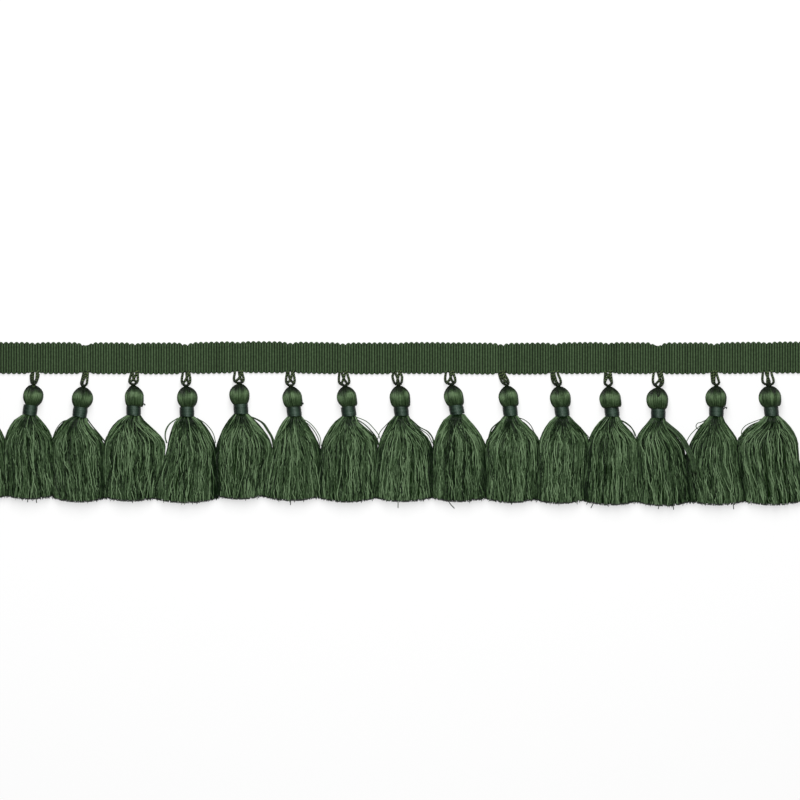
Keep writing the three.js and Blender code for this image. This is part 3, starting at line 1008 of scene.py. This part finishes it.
def in_locks(n, rng, t):
    """Shares of the skirt's width and height at which threads lie, how much longer they are, their locks."""
    upper = rng.random(THREADS) < ON_TOP
    top = 1 - TOP_DEPTH * rng.random(THREADS) ** 1.3
    height = np.where(upper, top, LOW_DEPTH * rng.random(THREADS))[:, None]
    lock = rng.integers(0, LOCKS, THREADS)
    lock_at = (lock + 0.5 + LOCKS_UNEVEN * np.sin(lock * 2.4 + n)) / LOCKS
    spread = np.sin(math.pi * (lock_at - 0.5)) / 2 + 0.5
    near = (spread + rng.normal(0, LOCK_WIDTH, THREADS) / LOCKS)[:, None]
    root = rng.random(THREADS)[:, None]
    drawn = mix(near, spread[:, None], LOCKS_CLOSE * smooth(t, 0.2, 1.0))
    u = np.clip(mix(mix(near, root, ROOTS_MIXED), drawn, smooth(t, 0.0, 0.35)), -0.005, 1.005)
    uneven = rng.normal(0, ENDS_UNEVEN, THREADS)[:, None]
    longer = uneven + np.where(rng.random(THREADS) < LONG_SHARE, LONGER_BY, 0.0)[:, None]
    return u, height, longer, lock


# %% [markdown]
# The tones make a skirt look full. Each thread has its own, and those deeper in get painted shade. Painted
# shade also darkens the skirt just below the binding, at its sides, in the furrows between two skirts and at
# its cut ends, and painted light and shade make it lighter or darker in patches. Painted glints follow the
# threads' bends.

# %% Tones of the skirts' threads
SKIRT_TONE = 0.53
TONES_VARY = 0.32
LOCKS_VARY = 0.06
# Painted shade deeper in, painted glints, painted shade at the sides and cut ends, painted light just above
# the ends.
DEEP_SHADED = 0.9
GLINTS_VARY = 0.08
EDGES_SHADED = 0.3
HEM_SHADED = 1.1
HEM_LIT = 0.1
PATCH_FADES = 0.25

# Patches of painted light and shade on the skirts. Shares of the width and length: a patch's middle and reach
# across the skirt, and how far down it starts.
PATCHES = table_of("tassel across reach start lighter", [
    (1, 0.5, 0.8, 0.0, -0.13), (2, 0.95, 0.3, 0.1, -0.12), (2, 0.9, 0.3, 0.5, -0.14),
    (3, 0.8, 0.5, 0.5, -0.18), (4, 0.5, 0.4, 0.2, 0.08), (5, 0.2, 0.5, 0.5, -0.15),
    (6, 0.9, 0.3, 0.25, 0.05), (6, 0.4, 0.4, 0.4, -0.1), (7, 0.1, 0.3, 0.2, -0.13),
    (7, 0.9, 0.3, 0.2, 0.12), (8, 0.9, 0.3, 0.5, 0.13), (9, 0.9, 0.35, 0.5, -0.2),
    (10, 0.4, 0.4, 0.1, 0.08), (11, 0.6, 0.6, 0.1, 0.08), (12, 0.1, 0.3, 0.1, -0.15),
    (12, 0.5, 0.25, 0.1, 0.08), (13, 0.1, 0.25, 0.3, -0.1), (14, 0.55, 0.3, 0.3, 0.1),
    (15, 0.1, 0.3, 0.0, -0.13), (15, 0.5, 0.3, 0.3, 0.08),
])


def in_patches(n, t, u):
    # Patches of painted light and shade.
    lighter = np.zeros(np.broadcast_shapes(t.shape, u.shape))
    for row in rows_of(PATCHES, n):
        near = np.exp(-(((u - row.across) / row.reach) ** 2))
        lighter += row.lighter * near * smooth(t, row.start, row.start + PATCH_FADES)
    return lighter


def skirt_tones(n, rng, t, u, height, lock, glimmer):
    """Tones of tassel n's threads, with painted light and shade. glimmer is the painted glints that their
    bends add.
    """
    tones = SKIRT_TONE + LOCKS_VARY * np.sin(lock * 1.7 + n) + rng.normal(0, TONES_VARY, THREADS)
    # painted shade on the threads deeper in
    tones = tones - DEEP_SHADED * (1 - height[:, 0])
    # painted glints along the threads
    glints = glimmer + rng.normal(0, GLINTS_VARY, glimmer.shape)
    from_middle = np.abs(2 * u - 1)
    # painted shade just below the binding, strongest in the middle
    in_shade = rng.uniform(0.4, 1.25, THREADS)[:, None] * np.clip(1 - 1.4 * from_middle**2, 0.2, 1)
    in_shade = in_shade * (1 - smooth(t, 0.02, 0.22))
    # painted shade at the sides and in the furrows between skirts
    furrow = np.where(u < 0.5, MEETINGS[n].shade, MEETINGS[n + 1].shade)
    at_sides = from_middle**7 * (EDGES_SHADED * smooth(t, 0.1, 0.4) + furrow * smooth(t, 0.25, 0.45))
    # painted shade on the cut ends, with painted light just above them
    at_hem = HEM_SHADED * smooth(t, TURNS_DOWN, 1.0) - HEM_LIT * smooth(t, 0.9, 0.97)
    return tones[:, None] + glints + in_patches(n, t, u) - at_sides - at_hem - in_shade


# %% [markdown]
# Handled silk is never straight. Every thread swings slowly and bends quickly along its way, some wander
# across the others, the cut ends fray, and small kinks break the lines. The random numbers are seeded for
# each tassel, so the skirt comes out the same every time.

# %% Threads of a skirt
SKIRT_POINTS = 18
POINTS_CROWD = 0.95  # below 1: more points near the hem
THREADS_VARY = (0.7, 1.25)  # shares of SKIRT_THREAD
ENDS_THIN = 0.6
SLOW_TURNS = (0.5, 1.6)  # fewest and most along a thread
QUICK_TURNS = (2.0, 4.0)
SLOW_SWING = 0.3
QUICK_SWING = 0.125
CROSSING = 0.27  # share of the threads
CROSSES_BY = 1.9
FRAYED = 0.5  # cut ends bent aside
KINKED = 0.22
OVER_NEXT = 4.0  # how far a thread may lie over the next skirt
OUT_AT_ENDS = 0.6  # and past the first and last skirt


def bends(rng, t, fewest, most):
    turns = rng.uniform(fewest, most, THREADS)[:, None]
    return turns * 2 * math.pi * t + rng.uniform(0, 7, THREADS)[:, None]


def skirt_threads(n):
    rng = np.random.default_rng(500 + n)
    t = np.append(np.linspace(0, TURNS_DOWN, SKIRT_POINTS - 1) ** POINTS_CROWD, 1.0)[None, :]
    u, height, longer, lock = in_locks(n, rng, t)
    centre = skirt_point(n, t, u, height, longer, SKIRT_THREAD)
    swing = smooth(t, 0.03, 0.4) * (1 - 0.5 * smooth(t, 0.9, 1.0))
    slow = bends(rng, t, *SLOW_TURNS)
    quick = bends(rng, t, *QUICK_TURNS)
    wide = rng.gamma(2.0, SLOW_SWING, THREADS)[:, None]
    fine = rng.gamma(2.0, QUICK_SWING, THREADS)[:, None]
    edge_share = np.clip(1 - np.abs(2 * u - 1) ** 6, 0.25, 1)
    crosses = rng.random(THREADS) < CROSSING
    crossing = np.where(crosses, rng.normal(0, CROSSES_BY, THREADS), 0.0)[:, None]
    centre[..., 0] += crossing * smooth(t, 0.35, 1.05)
    centre[..., 0] += swing * edge_share * (wide * np.sin(slow) + fine * np.sin(quick))
    centre[..., 2] += swing * 0.5 * (wide * np.cos(slow) + fine * np.cos(quick))
    thickness = rng.uniform(*THREADS_VARY, THREADS)[:, None]
    radii = SKIRT_THREAD * thickness * np.where(t > 0.99, ENDS_THIN, 1.0)
    centre[..., 2] = np.maximum(centre[..., 2], radii)
    # painted glints where the threads bend
    glimmer = 0.12 * np.sin(slow + 1) + 0.16 * np.sin(quick + 2)
    tones = skirt_tones(n, rng, t, u, height, lock, glimmer)
    centre[..., 0] += rng.normal(0, FRAYED, THREADS)[:, None] * smooth(t, 0.8, 1.0)
    centre[..., 0] += rng.normal(0, KINKED, centre.shape[:2]) * smooth(t, 0.1, 0.35) * edge_share
    out = OUT_AT_ENDS if n in (0, len(TASSELS) - 1) else OVER_NEXT
    centre[..., 0] = np.clip(centre[..., 0], side_of(n, t, False, -out), side_of(n, t, True, -out))
    return laid(centre, radii, UP, tones, sides=3)


# %% [markdown]
# The last threads are laid one by one, because they catch the eye first: the ones that have sprung out of a
# skirt's shoulder in an arc, and the few that stick out of a hem.

# %% Loose threads, and the skirts
STRAY_THREAD = 0.23  # radius
STRAY_APART = 0.32  # side by side
STRAYS_VARY = 0.05
STRAY_TONES = (0.1, 0.6)
SPRUNG = (5.0, 3.0)  # heights of the two ends of a thread at a shoulder
AT_HEM = (2.5, 0.4)  # and of one at a hem

# start and end are the heights of the two ends of the way.
STRAYS = table_of("tassel threads way start end", [
    (2, 1, [(-147.2, -29.4), (-150.5, -30.2), (-153.6, -33.7), (-155.5, -38.9)]),
    (2, 2, [(-139.1, -28.5), (-136.7, -31.8), (-133.4, -35.9), (-130.1, -40.1)]),
    (4, 2, [(-95.9, -28.5), (-99.7, -31.1), (-101.7, -34.2), (-102.1, -37.5), (-101.3, -40.4)]),
    (4, 1, [(-86.8, -28.5), (-82.6, -31.3), (-79.2, -35.6), (-77.8, -40.4)]),
    (5, 4, [(-63.1, -27.2), (-58.8, -28.7), (-55.1, -30.9), (-52.7, -34.3), (-50.6, -38.0),
            (-49.6, -43.0)], 5.0, 4.0),
    (6, 1, [(-38.4, -28.5), (-34.6, -29.9), (-31.3, -32.8), (-28.4, -37.5), (-27.9, -41.8)]),
    (6, 1, [(-38.4, -29.0), (-34.6, -30.9), (-31.5, -34.2), (-29.1, -38.5), (-28.4, -42.3)]),
    (7, 1, [(-12.3, -27.8), (-9.0, -28.8), (-6.0, -30.4), (-3.0, -33.3), (-0.6, -36.4), (0.6, -39.5)]),
    (7, 2, [(-11.8, -28.6), (-7.5, -31.2), (-4.2, -34.3), (-1.6, -37.8), (-0.2, -41.5)]),
    (8, 1, [(5.8, -29.0), (2.5, -32.3), (0.3, -35.1), (-0.9, -38.5)]),
    (8, 2, [(14.8, -29.0), (19.1, -32.8), (22.9, -34.9), (25.3, -38.0), (25.7, -41.3)]),
    (8, 1, [(14.8, -29.9), (19.1, -34.7), (22.7, -38.0), (24.3, -43.2)]),
    (8, 1, [(15.2, -29.4), (19.3, -33.8), (22.8, -36.4), (24.9, -40.5)]),
    (10, 2, [(57.1, -29.9), (53.3, -33.2), (52.1, -36.1), (51.6, -38.0), (50.6, -39.4), (50.2, -42.3)]),
    (10, 1, [(65.6, -28.3), (68.5, -29.3), (71.2, -31.4), (72.9, -34.4), (73.5, -37.5)]),
    (10, 1, [(65.6, -29.0), (69.0, -31.0), (71.6, -34.0), (73.4, -38.0)]),
    (11, 1, [(90.8, -29.0), (95.6, -33.5), (98.7, -37.0), (100.8, -39.7)]),
    (12, 1, [(113.6, -29.2), (116.5, -30.4), (119.2, -32.6), (121.2, -35.8), (121.9, -38.8)]),
    (12, 1, [(113.6, -29.4), (116.9, -31.1), (119.8, -33.7), (121.2, -37.0)]),
    (13, 5, [(135.2, -29.4), (138.8, -32.4), (142.3, -35.4), (145.2, -39.0), (147.4, -43.2),
             (149.6, -48.2), (150.3, -54.5)], 6.0, 8.2),
    (13, 5, [(134.2, -29.4), (137.4, -32.6), (140.9, -35.6), (143.8, -39.2), (146.0, -43.2),
             (148.4, -48.2), (149.6, -54.5)], 5.7, 8.0),
    (13, 4, [(133.4, -29.4), (136.4, -32.6), (139.5, -35.8), (141.9, -39.2), (143.3, -42.4), (143.6, -46.0)]),
    (14, 1, [(154.9, -29.9), (152.0, -32.2), (149.7, -34.1), (147.3, -36.7), (145.8, -39.5), (145.2, -42.0)]),
    (14, 1, [(154.9, -29.4), (152.4, -30.6), (150.8, -31.0), (150.2, -32.6), (151.2, -33.8),
             (152.2, -32.4)], 5.0, 5.0),
    (15, 1, [(182.5, -28.5), (177.3, -30.4), (173.7, -32.1), (171.8, -34.7), (172.0, -37.5)]),
    (15, 2, [(182.5, -29.4), (176.8, -31.6), (173.7, -34.0), (171.6, -37.0), (171.9, -39.4)]),
    (15, 1, [(174.9, -37.0), (171.6, -38.9), (169.9, -39.6), (169.8, -41.0), (171.1, -41.1),
             (171.6, -39.4)], 5.0, 5.0),
    (2, 1, [(-141.5, -35.0), (-144.8, -38.6), (-145.8, -42.5), (-144.4, -46.3), (-142.4, -43.5),
            (-143.4, -38.5)], 8.4, 8.6),
    (1, 1, [(-167.0, -63.0), (-167.1, -66.0), (-167.3, -68.5)], *AT_HEM),
    (1, 1, [(-163.6, -63.0), (-163.4, -66.0), (-163.0, -68.8)], *AT_HEM),
    (6, 1, [(-42.0, -63.0), (-42.2, -67.0), (-42.4, -69.8)], *AT_HEM),
    (8, 1, [(8.4, -64.0), (8.6, -68.0), (8.7, -71.2)], *AT_HEM),
    (9, 1, [(32.0, -64.0), (33.0, -68.4), (35.3, -71.4)], *AT_HEM),
    (12, 1, [(101.9, -65.0), (101.3, -68.8), (100.3, -71.2)], *AT_HEM),
    (13, 1, [(132.4, -66.0), (132.6, -69.2), (132.4, -71.7)], *AT_HEM),
    (13, 1, [(138.9, -66.0), (139.2, -69.2), (139.6, -72.0)], *AT_HEM),
    (14, 1, [(167.4, -65.0), (167.8, -68.8), (168.1, -71.8)], *AT_HEM),
], *SPRUNG)


def stray_threads(n):
    rng = np.random.default_rng(700 + n)
    routes = []
    for row in rows_of(STRAYS, n):
        heights = np.linspace(row.start, row.end, len(row.way))
        inwards = 1 if row.way[-1][0] < hang_of(n)[0][0] else -1
        for k in range(row.threads):
            step = inwards * STRAY_APART * k
            corners = [(x + step + rng.normal(0, STRAYS_VARY), y, h) for (x, y), h in zip(row.way, heights)]
            routes.append(through(corners, SKIRT_POINTS)[0])
    if not routes:
        return bpy.data.meshes.new("none")
    return laid(np.array(routes), STRAY_THREAD, UP, rng.uniform(*STRAY_TONES, (len(routes), 1)), sides=3)


def skirt_meshes(n):
    return [skirt_body(n), skirt_threads(n), stray_threads(n)]


one_for_each("skirt", skirt_meshes, [skirt_silk, shaded_core_silk], "silk", "tassel")
